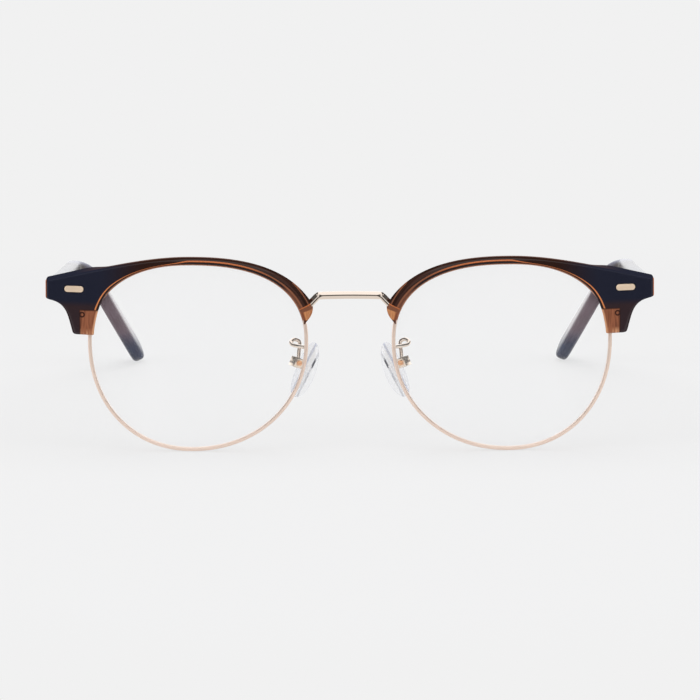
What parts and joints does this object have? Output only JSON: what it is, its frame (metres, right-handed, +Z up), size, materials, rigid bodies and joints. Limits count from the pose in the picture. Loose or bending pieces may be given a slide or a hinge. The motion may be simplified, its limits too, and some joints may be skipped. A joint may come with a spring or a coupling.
{
  "type": "browline glasses",
  "caption": "Browline glasses with dark acetate brows and temples on thin rose-gold metal rims, standing open on the rims and temple tips.",
  "frame": {"origin": "on the surface that it stands on, in the middle of the whole object, in the mirror plane", "axes": "+X along the front towards the wearer's left, -Y the way that the front looks, +Z up"},
  "size_m": [0.1414, 0.1372, 0.0446],
  "materials": {
    "acetate": "polished acetate",
    "gold_metal": "polished rose gold",
    "screw_metal": "turned",
    "core_metal": "drawn wire",
    "lens": "clear",
    "pad_clear": "clear"
  },
  "bodies": {
    "front": {"bridge": "gold_metal", "brow_left": "acetate", "rim_left": "gold_metal", "lens_left": "lens", "rim_lock_left": "gold_metal", "rim_screw_left": "screw_metal", "brow_screw_left": "screw_metal", "rivet_plate_left": "gold_metal", "front_hinge_left": "gold_metal", "hinge_screw_left": "screw_metal", "pad_arm_left": "gold_metal", "pad_box_left": "gold_metal", "pad_screw_left": "screw_metal", "brow_right": "acetate", "rim_right": "gold_metal", "lens_right": "lens", "rim_lock_right": "gold_metal", "rim_screw_right": "screw_metal", "brow_screw_right": "screw_metal", "rivet_plate_right": "gold_metal", "front_hinge_right": "gold_metal", "hinge_screw_right": "screw_metal", "pad_arm_right": "gold_metal", "pad_box_right": "gold_metal", "pad_screw_right": "screw_metal"},
    "temple_arm_left": {"temple_left": "acetate", "core_wire_left": "core_metal", "temple_hinge_left": "gold_metal"},
    "nose_rest_left": {"nose_pad_left": "pad_clear", "pad_insert_left": "gold_metal"},
    "temple_arm_right": {"temple_right": "acetate", "core_wire_right": "core_metal", "temple_hinge_right": "gold_metal"},
    "nose_rest_right": {"nose_pad_right": "pad_clear", "pad_insert_right": "gold_metal"}
  },
  "joints": [
    {"name": "temple_left_fold", "type": "hinge", "parent": "front", "child": "temple_arm_left", "pos_m": [0.064, -0.05451, 0.03678], "axis": [0, 0, 1], "range_deg": [0, 90]},
    {"name": "nose_pad_left_rock", "type": "hinge", "parent": "front", "child": "nose_rest_left", "pos_m": [0.0123, -0.06044, 0.01957], "axis": [0.5299, 0.848, 0], "range_deg": [-10, 10]},
    {"name": "temple_right_fold", "type": "hinge", "parent": "front", "child": "temple_arm_right", "pos_m": [-0.064, -0.05451, 0.03678], "axis": [0, 0, -1], "range_deg": [0, 83]},
    {"name": "nose_pad_right_rock", "type": "hinge", "parent": "front", "child": "nose_rest_right", "pos_m": [-0.0123, -0.06044, 0.01957], "axis": [-0.5299, 0.848, 0], "range_deg": [-10, 10]}
  ]
}
